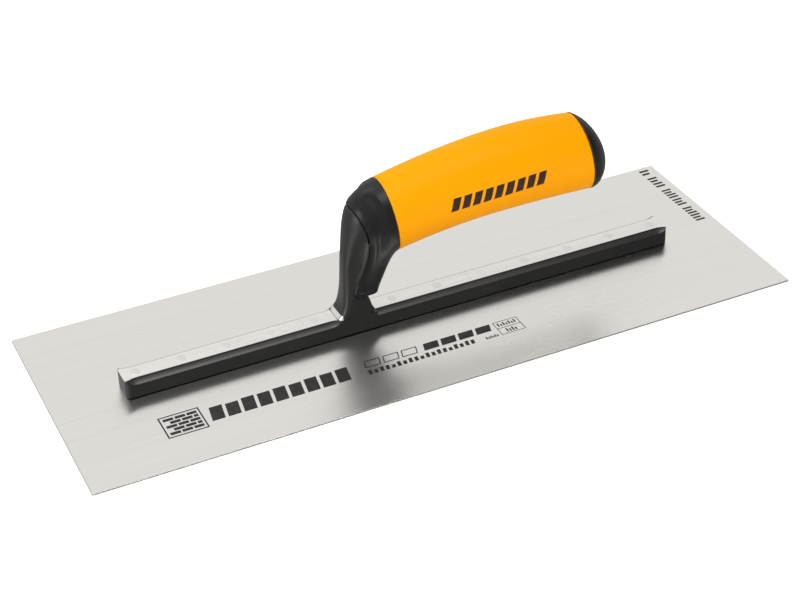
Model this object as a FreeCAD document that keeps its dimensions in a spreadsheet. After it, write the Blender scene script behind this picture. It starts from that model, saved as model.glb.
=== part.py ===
import FreeCAD, Part
import os
import Sketcher
from math import cos, pi, radians, sin

# A steel finishing trowel: a thin flat blade riveted to an aluminium mounting, and a handle
# drawn onto the mounting's post by a tie rod. Millimetres. The origin is the centre of the
# blade's underside, X runs along the blade towards the handle's rear end, Z is up.

doc = FreeCAD.newDocument("finishing_trowel")
vec = FreeCAD.Vector

# ---- driving dimensions ---------------------------------------------------------------------

dimensions = {
    # blade
    "bladeLength": 356.0,
    "bladeWidth": 127.0,
    "bladeThickness": 0.7,
    "bladeCornerRadius": 0.8,
    # mounting bar, whose sides lean in by a small draft
    "barLength": 286.6,
    "barBaseWidth": 14.8,
    "barTopWidth": 14.2,
    "barHeight": 9.1,
    "barCornerRadius": 2.5,
    # milled land along the top of the bar, and the conical cutter that chamfers its edges
    "landWidth": 9.0,
    "chamferCutterRadius": 11.0,
    "leftLandEnd": -38.0,
    "rightLandStart": -18.2,
    "cutterOverrun": 2.0,
    "chamferOverEnds": 1.0,
    "chamferOverLandEnd": 3.0,
    # rivets: one run each side of the post
    "leftRivetFirst": -136.4,
    "leftRivetPitch": 22.0,
    "rightRivetFirst": -7.5,
    "rightRivetPitch": 24.0,
    "rivetShankRadius": 2.0,
    "rivetHeadRadius": 2.8,
    "rivetTailRadius": 2.5,
    "rivetTailDepth": 0.5,
    # grip: the tilt is that of its cross-sections' normals
    "gripTilt": 9.0,
    "gripFrontX": -9.8,
    "gripFrontZ": 57.7,
    "gripRearX": 93.1,
    "sleeveThickness": 3.0,
    # tie rod and what it clamps
    "gripAxisLength": 103.1,
    "rodClimb": 3.56,
    "rodRadius": 4.0,
    "rodStart": -8.0,
    "rodLength": 105.5,
    "bossRadius": 9.0,
    "bossStart": -10.0,
    "bossLength": 22.0,
    "postThickness": 9.0,
    "neckReach": 25.0,
    "rodClearance": 0.5,
    "counterboreRadius": 10.5,
    "counterboreStart": 84.0,
    "washerRadius": 8.0,
    "washerThickness": 1.6,
    "springWasherRadius": 7.4,
    "springWasherThickness": 2.0,
    "springWasherGap": 1.6,
    "nutAcrossFlats": 13.0,
    "nutHeight": 6.5,
    # end cap: a skewed dome over an oval rim
    "capDepth": 13.6,
    "capDroop": 12.7,
    "capSpigotLength": 7.0,
    "capWall": 2.3,
}

sheet = doc.addObject("Spreadsheet::Sheet", "Sizes")
for row, (alias, value) in enumerate(dimensions.items(), start=1):
    sheet.set("A%d" % row, alias)
    sheet.set("B%d" % row, str(value))
    sheet.setAlias("B%d" % row, alias)
doc.recompute()


def size(alias):
    """The value of one cell of the sheet."""
    return float(getattr(sheet, alias))


def bind(obj, **expressions):
    """Tie an object's properties to the sheet; a double underscore stands for a dot."""
    for name, expression in expressions.items():
        obj.setExpression(name.replace("__", "."), expression)
    return obj


def add(kind, label, **expressions):
    """A new object with a label and its properties tied to the sheet."""
    obj = doc.addObject(kind, label)
    obj.Label = label
    return bind(obj, **expressions)


def join(kind, label, parts):
    """A boolean or compound of several objects."""
    obj = add(kind, label)
    if kind == "Part::Compound":
        obj.Links = parts
    else:
        obj.Shapes = parts
    return obj


def cut(label, base, tool):
    """The base with the tool's volume taken out."""
    obj = add("Part::Cut", label)
    obj.Base = base
    obj.Tool = tool
    return obj


def freeform(label, shape):
    """A piece whose outline is a free curve that no primitive gives."""
    obj = add("Part::Feature", label)
    obj.Shape = shape
    return obj


def part_of(label, shape):
    """Stop at once if a shape made by hand is not one sound solid."""
    if shape.isNull() or not shape.isValid() or len(shape.Solids) != 1:
        raise RuntimeError("%s is not one valid solid" % label)
    return freeform(label, shape)


# ---- rivets ---------------------------------------------------------------------------------
# A solid rivet fills its hole: a countersunk head ground flush with the blade's underside, a
# shank, and a tail peened into a shallow countersink in the land on top of the bar.

def make_rivet(number, place):
    """One rivet at the X position that an expression gives."""
    shank = add("Part::Cylinder", "rivet_shank_%02d" % number,
                Radius="Sizes.rivetShankRadius",
                Height="Sizes.bladeThickness + Sizes.barHeight",
                Placement__Base__x=place)
    head = add("Part::Cone", "rivet_head_%02d" % number,
               Radius1="Sizes.rivetHeadRadius", Radius2="Sizes.rivetShankRadius",
               Height="Sizes.bladeThickness", Placement__Base__x=place)
    tail = add("Part::Cone", "rivet_tail_%02d" % number,
               Radius1="Sizes.rivetShankRadius", Radius2="Sizes.rivetTailRadius",
               Height="Sizes.rivetTailDepth", Placement__Base__x=place,
               Placement__Base__z="Sizes.bladeThickness + Sizes.barHeight - Sizes.rivetTailDepth")
    return join("Part::MultiFuse", "rivet_%02d" % number, [shank, head, tail])


left_places = ["Sizes.leftRivetFirst + %d * Sizes.leftRivetPitch" % i for i in range(5)]
right_places = ["Sizes.rightRivetFirst + %d * Sizes.rightRivetPitch" % i for i in range(7)]
blade_rivets = join("Part::Compound", "blade_rivets",
                    [make_rivet(i, place)
                     for i, place in enumerate(left_places + right_places, start=1)])


# ---- blade ----------------------------------------------------------------------------------

def origin_plane(body, role):
    """One of a body's own origin planes, such as XY_Plane."""
    return next(f for f in body.Origin.OriginFeatures if f.Role == role)


def rounded_plate(label, length, width, radius, thickness):
    """A centred rectangular plate with rounded corners, as a sketch, a pad and a fillet."""
    body = add("PartDesign::Body", label)
    sketch = body.newObject("Sketcher::SketchObject", label + "_outline")
    sketch.AttachmentSupport = [(origin_plane(body, "XY_Plane"), "")]
    sketch.MapMode = "FlatFace"
    x, y = size(length) / 2, size(width) / 2
    corners = [vec(-x, -y, 0), vec(x, -y, 0), vec(x, y, 0), vec(-x, y, 0)]
    for i in range(4):
        sketch.addGeometry(Part.LineSegment(corners[i], corners[(i + 1) % 4]), False)
    for i in range(4):
        sketch.addConstraint(Sketcher.Constraint("Coincident", i, 2, (i + 1) % 4, 1))
    for i in (0, 2):
        sketch.addConstraint(Sketcher.Constraint("Horizontal", i))
        sketch.addConstraint(Sketcher.Constraint("Vertical", i + 1))
    sketch.addConstraint(Sketcher.Constraint("Symmetric", 0, 1, 2, 1, -1, 1))
    across = sketch.addConstraint(Sketcher.Constraint("DistanceX", 0, 1, 0, 2, 2 * x))
    upward = sketch.addConstraint(Sketcher.Constraint("DistanceY", 1, 1, 1, 2, 2 * y))
    sketch.setExpression("Constraints[%d]" % across, "Sizes." + length)
    sketch.setExpression("Constraints[%d]" % upward, "Sizes." + width)
    pad = body.newObject("PartDesign::Pad", label + "_pad")
    pad.Profile = sketch
    pad.setExpression("Length", "Sizes." + thickness)
    doc.recompute()
    fillet = body.newObject("PartDesign::Fillet", label + "_corners")
    upright = ["Edge%d" % (i + 1) for i, edge in enumerate(pad.Shape.Edges)
               if abs(edge.tangentAt(edge.FirstParameter).z) > 0.9]
    fillet.Base = (pad, upright)
    fillet.setExpression("Radius", "Sizes." + radius)
    body.Tip = fillet
    return body


blade_sheet = rounded_plate("blade_sheet", "bladeLength", "bladeWidth",
                            "bladeCornerRadius", "bladeThickness")
blade = cut("blade", blade_sheet, blade_rivets)


# ---- mounting bar ---------------------------------------------------------------------------
# The bar is a loft of two rounded rectangles, the upper one narrower by the draft. A conical
# cutter run along each edge of its top leaves a 45 degree chamfer that fades out at the ends.

def rounded_rectangle(length, width, radius, z):
    """A closed wire of four lines and four quarter circles."""
    x, y, k = length / 2, width / 2, radius * (1 - cos(pi / 4))
    edges = []
    for i, (sx, sy) in enumerate([(1, -1), (1, 1), (-1, 1), (-1, -1)]):
        before = vec(sx * (x - radius * (i % 2 == 0)), sy * (y - radius * (i % 2 == 1)), z)
        after = vec(sx * (x - radius * (i % 2 == 1)), sy * (y - radius * (i % 2 == 0)), z)
        edges.append(Part.Arc(before, vec(sx * (x - k), sy * (y - k), z), after).toShape())
    lines = [Part.LineSegment(edges[i].Vertexes[-1].Point,
                              edges[(i + 1) % 4].Vertexes[0].Point).toShape() for i in range(4)]
    return Part.Wire([edge for pair in zip(edges, lines) for edge in pair])


bar_top = size("bladeThickness") + size("barHeight")
bar_blank = part_of("bar_blank", Part.makeLoft(
    [rounded_rectangle(size("barLength"), size("barBaseWidth"), size("barCornerRadius"),
                       size("bladeThickness")),
     rounded_rectangle(size("barLength"), size("barTopWidth"), size("barCornerRadius"),
                       bar_top)], True, True))


def chamfer_cutter(label, start, end, side, fades_at_start, fades_at_end):
    """The volume swept by the cutter along one edge of the top, from start to end."""
    radius = size("chamferCutterRadius")
    centre_y = side * (size("landWidth") / 2 + radius)
    above = size("cutterOverrun")
    section = [vec(start, centre_y, bar_top - radius),
               vec(start, centre_y - side * (radius + above), bar_top + above),
               vec(start, centre_y, bar_top + above)]
    swept = Part.Face(Part.makePolygon(section + section[:1])).extrude(vec(end - start, 0, 0))
    for x, fades in ((start, fades_at_start), (end, fades_at_end)):
        if fades:
            swept = swept.fuse(Part.makeCone(0, radius + above, radius + above,
                                             vec(x, centre_y, bar_top - radius)))
    return freeform(label, swept.removeSplitter())


# the cutter stops so far inside each end that its fading chamfer just reaches the corner
chamfer_depth = size("barTopWidth") / 2 - size("landWidth") / 2
fade = (size("chamferCutterRadius") ** 2
        - (size("chamferCutterRadius") - chamfer_depth) ** 2) ** 0.5
bar_end = size("barLength") / 2
cutters = []
for side, name in ((-1, "near"), (1, "far")):
    outer_stop = bar_end - fade + size("chamferOverEnds")
    inner_stop = size("leftLandEnd") - fade + size("chamferOverLandEnd")
    cutters.append(chamfer_cutter("chamfer_left_" + name, -outer_stop, inner_stop,
                                  side, True, True))
    cutters.append(chamfer_cutter("chamfer_right_" + name, size("rightLandStart"), outer_stop,
                                  side, False, True))
bar = cut("bar", bar_blank, join("Part::Compound", "chamfer_cutters", cutters))


# ---- neck: the outline that the post and the front collar share ----------------------------
# The sections fan out round the inner corner of the neck, from the foot on the bar to the oval
# at the front of the grip. Each runs from a front point to a back point in the XZ plane and has
# its own half-width and roundness.

def superellipse(front, back, half_width, exponent, count=28):
    """Points round a superellipse on the line between two points of the XZ plane."""
    centre = vec((front[0] + back[0]) / 2, 0, (front[1] + back[1]) / 2)
    half = vec((back[0] - front[0]) / 2, 0, (back[1] - front[1]) / 2)
    points = []
    for i in range(count):
        a = 2 * pi * i / count
        along = abs(cos(a)) ** (2 / exponent) * (1 if cos(a) > 0 else -1)
        across = abs(sin(a)) ** (2 / exponent) * (1 if sin(a) > 0 else -1)
        points.append(centre + half * along + vec(0, half_width * across, 0))
    return points + points[:1]


def skinned_solid(rings):
    """A smooth surface through rings of points, closed by a flat face at each end."""
    surface = Part.BSplineSurface()
    surface.interpolate(rings)
    first, last = surface.bounds()[:2]
    ends = [Part.Face(Part.Wire(surface.uIso(u).toShape())) for u in (first, last)]
    shell = Part.makeShell([surface.toShape(), *ends])
    shell.sewShape()
    return Part.Solid(shell)


def grip_height(x):
    """Height of the grip's centreline, which climbs from the front and levels out."""
    along = (x - size("gripFrontX")) / (size("gripRearX") - size("gripFrontX"))
    return 57.7 + 22.6 * along - 16.4 * along ** 2 + 0.2 * along ** 3


# half-height and half-width of the grip at equal steps from front to rear
grip_ovals = [(19.3, 15.2), (19.7, 15.5), (20.2, 16.0), (20.8, 16.4), (20.9, 16.5), (20.4, 16.1)]
tilt = radians(size("gripTilt"))
grip_up = vec(-sin(tilt), 0, cos(tilt))
grip_out = vec(cos(tilt), 0, sin(tilt))


def grip_centre(step):
    """Centre of one of the grip's cross-sections."""
    x = size("gripFrontX") + (size("gripRearX") - size("gripFrontX")) * step / 5
    return vec(x, 0, grip_height(x))


seam_front = grip_centre(0) + grip_up * grip_ovals[0][0]
seam_back = grip_centre(0) - grip_up * grip_ovals[0][0]

#        front point     back point      half-width, roundness
neck_sections = [
    ((-38.6, 5.0), (-18.2, 5.0), 7.10, 5.0),
    ((-37.9, 9.6), (-18.2, 9.6), 7.10, 5.0),
    ((-35.7, 12.4), (-18.0, 12.4), 7.05, 4.5),
    ((-34.2, 16.5), (-17.2, 16.0), 6.95, 4.0),
    ((-33.5, 22.5), (-15.3, 20.8), 6.90, 3.5),
    ((-33.1, 30.0), (-12.7, 26.0), 7.05, 3.1),
    ((-32.7, 38.5), (-10.4, 30.6), 7.70, 2.8),
    ((-31.8, 48.5), (-8.6, 34.2), 9.00, 2.5),
    ((-30.4, 58.0), (-7.6, 36.6), 11.00, 2.3),
    ((-27.2, 67.0), (-7.0, 37.9), 13.20, 2.15),
    ((-21.2, 73.6), (-6.7, 38.5), 14.70, 2.05),
    ((seam_front.x, seam_front.z), (seam_back.x, seam_back.z), grip_ovals[0][1], 2.0),
]
neck_outline = part_of("neck_outline", skinned_solid(
    [superellipse(*section) for section in neck_sections]))


def side_prism(label, edges, half_width):
    """A closed region of the XZ plane, carried across the neck by half_width each way."""
    face = Part.Face(Part.Wire(Part.sortEdges(edges)[0]))
    face.translate(vec(0, -half_width, 0))
    return part_of(label, face.extrude(vec(0, 2 * half_width, 0)))


def in_side_view(points):
    """Points of the XZ plane."""
    return [vec(x, 0, z) for x, z in points]


# The parting line runs down the side of the neck from the front, turns a round corner and goes
# back along the collar's lower edge. What lies in front of it and below it is the casting,
# whose heel leans forward as it rises from the land to the collar's edge.
parting = Part.BSplineCurve()
parting.interpolate(Points=in_side_view([
    (-31.5, 67.4), (-28.2, 66.2), (-25.9, 62.4), (-24.0, 56.8), (-22.8, 51.0), (-22.2, 45.0),
    (-22.8, 38.4), (-25.0, 32.0), (-28.0, 26.0), (-29.2, 22.8)]))
corner_start, corner_middle, corner_end, heel_top, heel_foot, edge_end = in_side_view([
    (-29.2, 22.8), (-29.04, 21.04), (-27.55, 20.09), (-22.4, 19.5), (-19.4, 9.8), (-10.0, 18.1)])
beyond = size("gripAxisLength")
share_bounds = in_side_view([(-19.4, 0.0), (-beyond, 0.0), (-beyond, 67.4), (-31.5, 67.4)])
casting_share = side_prism("casting_share", [
    parting.toShape(),
    Part.Arc(corner_start, corner_middle, corner_end).toShape(),
    *Part.makePolygon([corner_end, heel_top, heel_foot, *share_bounds]).Edges],
    size("neckReach"))

# behind the foot's heel the neck is open, so that the collar's lower edge overhangs the land
heel_gap = side_prism("heel_gap", Part.makePolygon(
    [heel_top, edge_end, *in_side_view([(-10.0, 0.0), (-19.4, 0.0)]), heel_foot,
     heel_top]).Edges, size("neckReach"))

# inside the collar the casting goes on as a flat column up to the boss
column = side_prism("column", Part.makePolygon(in_side_view([
    (-36.0, 2.0), (-21.0, 2.0), (-21.0, 17.0), (-18.2, 27.0), (-15.2, 37.0), (-12.2, 46.0),
    (-9.5, 52.0), (-12.0, 65.0), (-21.0, 65.0), (-27.0, 60.0), (-31.0, 50.0), (-36.0, 2.0)]
)).Edges, size("postThickness") / 2)


# ---- pieces on the tie rod's axis ------------------------------------------------------------
# The axis climbs gently from the boss to the end cap. Distances along it start at the grip's
# front seam.

def on_axis(obj, distance):
    """Turn a primitive onto the rod's axis, its base at a distance given by an expression."""
    obj.Placement = FreeCAD.Placement(vec(), FreeCAD.Rotation(vec(0, 1, 0), 90))
    climb = "Sizes.rodClimb * 1deg"
    return bind(obj, Placement__Rotation__Angle="90deg - " + climb,
                Placement__Base__x="Sizes.gripFrontX + (%s) * cos(%s)" % (distance, climb),
                Placement__Base__z="Sizes.gripFrontZ + (%s) * sin(%s)" % (distance, climb))


def rod_cylinder(label, distance, radius, height):
    """A cylinder on the rod's axis, all its sizes given by expressions."""
    return on_axis(add("Part::Cylinder", label, Radius=radius, Height=height), distance)


tie_rod = rod_cylinder("tie_rod", "Sizes.rodStart", "Sizes.rodRadius", "Sizes.rodLength")
boss = rod_cylinder("boss", "Sizes.bossStart", "Sizes.bossRadius", "Sizes.bossLength")

# ---- mounting casting and front collar ------------------------------------------------------

neck_above_heel = cut("neck_above_heel", neck_outline, heel_gap)
casting_inside_neck = join("Part::MultiCommon", "casting_inside_neck", [
    neck_above_heel, join("Part::MultiFuse", "casting_reach", [casting_share, column])])
casting_blank = join("Part::MultiFuse", "casting_blank", [bar, casting_inside_neck, boss])
casting_voids = join("Part::Compound", "casting_voids", [blade_rivets, tie_rod])
mounting_casting = cut("mounting_casting", casting_blank, casting_voids)

collar_void = join("Part::MultiFuse", "collar_void", [casting_share, column, boss])
front_collar = cut("front_collar", neck_above_heel, collar_void)

# ---- handle core and grip sleeve ------------------------------------------------------------

def oval(label, step, inset):
    """One elliptical cross-section of the grip, square to the tilted out direction."""
    half_height, half_width = grip_ovals[step]
    ring = add("Part::Ellipse", label,
               MajorRadius="%g - %s" % (half_height, inset),
               MinorRadius="%g - %s" % (half_width, inset))
    ring.Placement = FreeCAD.Placement(
        grip_centre(step), FreeCAD.Rotation(grip_up, vec(0, 1, 0), grip_out * -1, "XYZ"))
    return ring


def grip_loft(label, inset):
    """A closed solid through all the grip's cross-sections, drawn in by the inset."""
    loft = add("Part::Loft", label)
    loft.Sections = [oval("%s_section_%d" % (label, i), i, inset) for i in range(6)]
    loft.Solid = True
    return loft


sleeve_outline = grip_loft("sleeve_outline", "0")
core_outline = grip_loft("core_outline", "Sizes.sleeveThickness")
grip_sleeve = cut("grip_sleeve", sleeve_outline, core_outline)
rod_passage = rod_cylinder("rod_passage", "Sizes.bossStart",
                           "Sizes.rodRadius + Sizes.rodClearance",
                           "Sizes.gripAxisLength + 2 * Sizes.bossLength")
counterbore = rod_cylinder("counterbore", "Sizes.counterboreStart",
                           "Sizes.counterboreRadius", "Sizes.gripAxisLength")
handle_core = cut("handle_core", core_outline, join(
    "Part::MultiFuse", "core_voids", [boss, rod_passage, counterbore]))

# ---- washers and nut in the counterbore ------------------------------------------------------

washer_end = "Sizes.counterboreStart + Sizes.washerThickness"
spring_end = washer_end + " + Sizes.springWasherThickness"
flat_washer = cut("flat_washer", rod_cylinder(
    "flat_washer_disc", "Sizes.counterboreStart", "Sizes.washerRadius",
    "Sizes.washerThickness"), tie_rod)
spring_gap = on_axis(add("Part::Box", "spring_washer_gap", Width="Sizes.springWasherGap",
                         Length="2 * Sizes.springWasherRadius",
                         Height="Sizes.springWasherThickness"), washer_end)
spring_washer = cut("spring_washer", rod_cylinder(
    "spring_washer_disc", washer_end, "Sizes.springWasherRadius",
    "Sizes.springWasherThickness"), join("Part::MultiFuse", "spring_washer_voids",
                                         [tie_rod, spring_gap]))
hex_nut = cut("hex_nut", on_axis(add(
    "Part::Prism", "hex_nut_blank", Circumradius="Sizes.nutAcrossFlats / sqrt(3)",
    Height="Sizes.nutHeight"), spring_end), tie_rod)

# ---- end cap --------------------------------------------------------------------------------
# The cap goes on from the grip's rear oval: each ring is the oval made smaller, moved out along
# a drooping direction by the depth that a superellipse of the same size gives. A spigot holds
# the cap in the core's counterbore, over the nut.

def cap_ring(turn, roundness=1.7, count=28):
    """The ring at one turn of the dome's profile, from the rim (0) to the nose (1)."""
    shrink = cos(pi / 2 * turn) ** (2 / roundness)
    depth = size("capDepth") * sin(pi / 2 * turn) ** (2 / roundness)
    droop = radians(size("capDroop"))
    centre = grip_centre(5) + vec(cos(droop), 0, -sin(droop)) * depth
    half_height, half_width = grip_ovals[-1]
    ring = [centre + grip_up * (half_height * shrink * cos(2 * pi * i / count))
            + vec(0, half_width * shrink * sin(2 * pi * i / count), 0) for i in range(count)]
    return ring + ring[:1]


cap_dome = part_of("cap_dome", skinned_solid(
    [cap_ring(turn) for turn in (0.0, 0.12, 0.25, 0.38, 0.52, 0.66, 0.8, 0.9, 0.97)]))
spigot_start = "Sizes.gripAxisLength - Sizes.capSpigotLength"
spigot = rod_cylinder("cap_spigot", spigot_start, "Sizes.counterboreRadius",
                      "Sizes.capSpigotLength + Sizes.capWall")
nut_room = rod_cylinder("cap_nut_room", spigot_start,
                        "Sizes.counterboreRadius - Sizes.capWall", "Sizes.capSpigotLength")
end_cap = cut("end_cap", join("Part::MultiFuse", "cap_blank",
                              [cap_dome, spigot]), nut_room)

# ---- check and write ------------------------------------------------------------------------

doc.recompute()
pieces = {blade: 1, mounting_casting: 1, blade_rivets: 12, front_collar: 1, handle_core: 1,
          grip_sleeve: 1, end_cap: 1, tie_rod: 1, flat_washer: 1, spring_washer: 1, hex_nut: 1}

for obj in doc.Objects:
    if {"Invalid", "Error"} & set(obj.State):
        raise RuntimeError("%s failed: %s" % (obj.Label, obj.State))
for piece, solids in pieces.items():
    shape = piece.Shape
    if shape.isNull() or not shape.isValid() or len(shape.Solids) != solids:
        raise RuntimeError("%s is not %d valid solids but %d" %
                           (piece.Label, solids, len(shape.Solids)))

os.makedirs("parts", exist_ok=True)
for piece in pieces:
    piece.Shape.exportStep("parts/%s.step" % piece.Label)
    box = piece.Shape.BoundBox
    print("%-17s %9.0f mm3  x %7.1f %7.1f  y %6.1f %6.1f  z %5.1f %5.1f" %
          (piece.Label, piece.Shape.Volume, box.XMin, box.XMax, box.YMin, box.YMax,
           box.ZMin, box.ZMax))
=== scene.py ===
import math

import bmesh
import bpy
import numpy as np
from mathutils import Matrix, Vector


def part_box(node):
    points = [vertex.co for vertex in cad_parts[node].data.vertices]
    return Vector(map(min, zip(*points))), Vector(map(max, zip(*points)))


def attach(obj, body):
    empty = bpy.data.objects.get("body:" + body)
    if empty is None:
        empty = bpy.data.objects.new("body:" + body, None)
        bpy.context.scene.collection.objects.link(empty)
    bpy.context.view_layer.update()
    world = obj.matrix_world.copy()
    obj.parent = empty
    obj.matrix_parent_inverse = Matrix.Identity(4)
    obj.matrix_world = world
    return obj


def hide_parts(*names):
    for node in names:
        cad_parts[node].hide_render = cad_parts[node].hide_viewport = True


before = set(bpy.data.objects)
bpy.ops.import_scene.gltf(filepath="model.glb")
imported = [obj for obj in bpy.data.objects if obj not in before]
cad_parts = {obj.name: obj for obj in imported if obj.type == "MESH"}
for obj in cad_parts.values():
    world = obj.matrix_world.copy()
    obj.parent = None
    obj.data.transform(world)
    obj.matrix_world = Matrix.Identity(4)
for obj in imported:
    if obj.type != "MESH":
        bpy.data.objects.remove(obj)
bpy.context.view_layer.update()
mm = 0.001  # every shape below is worked out in millimetres and scaled once, in makePiece

bladeLow, bladeHigh = [np.array(corner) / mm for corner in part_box("blade")]


# Natural cubic spline: between two knots the value is a cubic whose second derivative runs
# straight from one knot's to the next, and is zero at both ends.
def smoothThrough(knots, values):
    knots = np.asarray(knots, float)
    values = np.asarray(values, float).reshape(len(knots), -1)
    step = np.diff(knots)[:, None]
    slope = np.diff(values, axis=0) / step
    system = np.eye(len(knots))
    inner = np.arange(1, len(knots) - 1)
    system[inner, inner - 1] = step[:-1, 0]
    system[inner, inner] = 2 * (step[:-1, 0] + step[1:, 0])
    system[inner, inner + 1] = step[1:, 0]
    bend = np.zeros_like(values)
    bend[1:-1] = 6 * np.diff(slope, axis=0)
    bend = np.linalg.solve(system, bend)

    def at(t):
        t = np.asarray(t, float)
        k = np.clip(np.searchsorted(knots, t, side="right") - 1, 0, len(knots) - 2)
        width = step[k]
        b = (t[..., None] - knots[k][..., None]) / width
        a = 1 - b
        curve = ((a ** 3 - a) * bend[k] + (b ** 3 - b) * bend[k + 1]) * width ** 2 / 6
        return a * values[k] + b * values[k + 1] + curve

    return at


def eased(t):  # 0 to 1 with flat ends
    t = np.clip(t, 0, 1)
    return t * t * (3 - 2 * t)


def unit(vectors):
    return vectors / np.maximum(np.linalg.norm(vectors, axis=-1, keepdims=True), 1e-12)


def gridFaces(rows, columns, closeRows, closeColumns):
    i, j = np.meshgrid(np.arange(rows if closeRows else rows - 1),
                       np.arange(columns if closeColumns else columns - 1), indexing="ij")
    below = (i + 1) % rows
    beside = (j + 1) % columns
    corners = [i * columns + j, i * columns + beside, below * columns + beside, below * columns + j]
    return np.stack(corners, -1).reshape(-1, 4)


# A closed grid has a signed volume, the sum of its faces' pyramids to the origin, which is
# negative where the faces point inwards: then their corners are taken the other way round.
def outwardFaces(points, faces):
    a, b, c, d = (points[faces[:, k]] for k in range(4))
    volume = np.einsum("ij,ij->i", a, np.cross(b, c)) + np.einsum("ij,ij->i", a, np.cross(c, d))
    return faces if volume.sum() > 0 else faces[:, ::-1]


# A sheet is one closed grid: points by row and column, whether each direction closes on itself,
# a finish number for each face, and an edge value for each point that the wear and the painted shade
# line follow.
def sheet(points, closeRows=False, closeColumns=True, finish=0, edge=None):
    rows, columns = points.shape[:2]
    faces = gridFaces(rows, columns, closeRows, closeColumns)
    flat = points.reshape(-1, 3)
    centres = flat[faces].mean(axis=1)
    numbers = finish(centres) if callable(finish) else np.full(len(faces), finish)
    edges = np.zeros(len(flat)) if edge is None else np.broadcast_to(edge, (rows, columns)).ravel()
    return {"points": flat, "faces": outwardFaces(flat, faces), "finish": numbers, "edge": edges}


weldDistance = 0.0002 * mm  # joins nothing but seams and poles
sharpAngle = math.radians(32.0)
mapTile = 0.1  # the lengthwise map repeats every 100 mm


def makePiece(name, sheets, materials, replaced=None):
    points = np.concatenate([s["points"] for s in sheets]) * mm
    starts = np.cumsum([0] + [len(s["points"]) for s in sheets[:-1]])
    faces = np.concatenate([s["faces"] + start for s, start in zip(sheets, starts)])
    finishes = np.concatenate([s["finish"] for s in sheets]).astype(np.int32)
    edges = np.concatenate([s["edge"] for s in sheets]).astype(np.float32)
    mesh = bpy.data.meshes.new(name)
    mesh.from_pydata(points, [], faces)
    mesh.polygons.foreach_set("material_index", finishes)
    mesh.attributes.new("edge", "FLOAT", "POINT").data.foreach_set("value", edges)
    welded = bmesh.new()
    welded.from_mesh(mesh)
    bmesh.ops.remove_doubles(welded, verts=welded.verts, dist=weldDistance)
    welded.to_mesh(mesh)
    welded.free()
    # the lengthwise map has X along it and Y plus Z across it, so that brushing runs along X
    lengthwise = mesh.uv_layers.new(name="lengthwise")
    corners = np.zeros(len(mesh.loops), np.int32)
    mesh.loops.foreach_get("vertex_index", corners)
    places = np.zeros(len(mesh.vertices) * 3, np.float32)
    mesh.vertices.foreach_get("co", places)
    places = places.reshape(-1, 3)[corners] / mapTile
    flat = np.stack([places[:, 0], places[:, 1] + places[:, 2]], -1)
    lengthwise.data.foreach_set("uv", flat.astype(np.float32).ravel())
    mesh.shade_smooth()
    mesh.set_sharp_from_angle(angle=sharpAngle)
    piece = bpy.data.objects.new(name, mesh)
    bpy.context.scene.collection.objects.link(piece)
    for material in materials:
        mesh.materials.append(material)
    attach(piece, "root")
    if replaced:
        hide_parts(replaced)
    print(name, "has", len(mesh.polygons), "faces")


def addNode(tree, kind, inputs=None, **settings):
    node = tree.nodes.new(kind)
    for key, value in settings.items():
        setattr(node, key, value)
    for key, value in (inputs or {}).items():
        if isinstance(value, bpy.types.NodeSocket):
            tree.links.new(value, node.inputs[key])
        else:
            node.inputs[key].default_value = value
    return node


def ranged(tree, value, low, high, fromLow=0.0, fromHigh=1.0):
    return addNode(tree, "ShaderNodeMapRange", {
        "Value": value, "From Min": fromLow, "From Max": fromHigh,
        "To Min": low, "To Max": high}).outputs["Result"]


def computed(tree, operation, first, second, **settings):
    return addNode(tree, "ShaderNodeMath", {0: first, 1: second}, operation=operation,
                   **settings).outputs[0]


def vectors(tree, operation, first, second, output="Vector"):
    return addNode(tree, "ShaderNodeVectorMath", {0: first, 1: second},
                   operation=operation).outputs[output]


def noise(tree, vector, scale, detail=2.0, roughness=0.5, output="Fac"):
    return addNode(tree, "ShaderNodeTexNoise", {
        "Vector": vector, "Scale": scale, "Detail": detail,
        "Roughness": roughness}).outputs[output]


# A group takes a place and some numbers, and puts out the masks that its own function makes.
def newGroup(name, makeMasks, **numbers):
    group = bpy.data.node_groups.new(name, "ShaderNodeTree")
    sockets = group.interface
    sockets.new_socket(name="Vector", in_out="INPUT", socket_type="NodeSocketVector")
    for label, value in numbers.items():
        socket = sockets.new_socket(name=label, in_out="INPUT", socket_type="NodeSocketFloat")
        socket.default_value = value
    masks = makeMasks(group, addNode(group, "NodeGroupInput").outputs)
    for label in masks:
        sockets.new_socket(name=label, in_out="OUTPUT", socket_type="NodeSocketFloat")
    addNode(group, "NodeGroupOutput", masks)
    return group


# Streaks along X: noise whose coordinates are stretched, coarse and fine together.
def brushingMasks(group, given):
    stretch = addNode(group, "ShaderNodeCombineXYZ", {
        "X": given["Along"], "Y": given["Across"], "Z": given["Across"]}).outputs[0]
    fine = vectors(group, "MULTIPLY", given["Vector"], stretch)
    coarse = vectors(group, "MULTIPLY", fine, (0.35, 0.06, 0.06))
    return {"Streaks": noise(group, fine, 1.0, 4.0, 0.7), "Bands": noise(group, coarse, 1.0, 3.0)}


# Grain of a moulded or cast face: fine pebbles from noise, and slow patches over them.
def grainMasks(group, given):
    return {"Height": noise(group, given["Vector"], given["Scale"], 3.0, 0.55),
            "Patches": noise(group, given["Vector"], 38.0, 4.0, 0.6)}


# Edge wear, and on the milled lands a line of painted shade: the piece's own edge value, broken up by
# noise.
def edgeWearAndShadeMasks(group, given):
    edge = addNode(group, "ShaderNodeAttribute", attribute_name="edge", attribute_type="GEOMETRY")
    chips = noise(group, given["Vector"], 420.0, 5.0, 0.7)
    broken = computed(group, "MULTIPLY", edge.outputs["Fac"], chips)
    level = computed(group, "SUBTRACT", 1.0, given["Amount"])
    shown = computed(group, "SUBTRACT", broken, computed(group, "MULTIPLY", level, 0.6))
    return {"Mask": computed(group, "MULTIPLY", shown, 6.0, use_clamp=True)}


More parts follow.
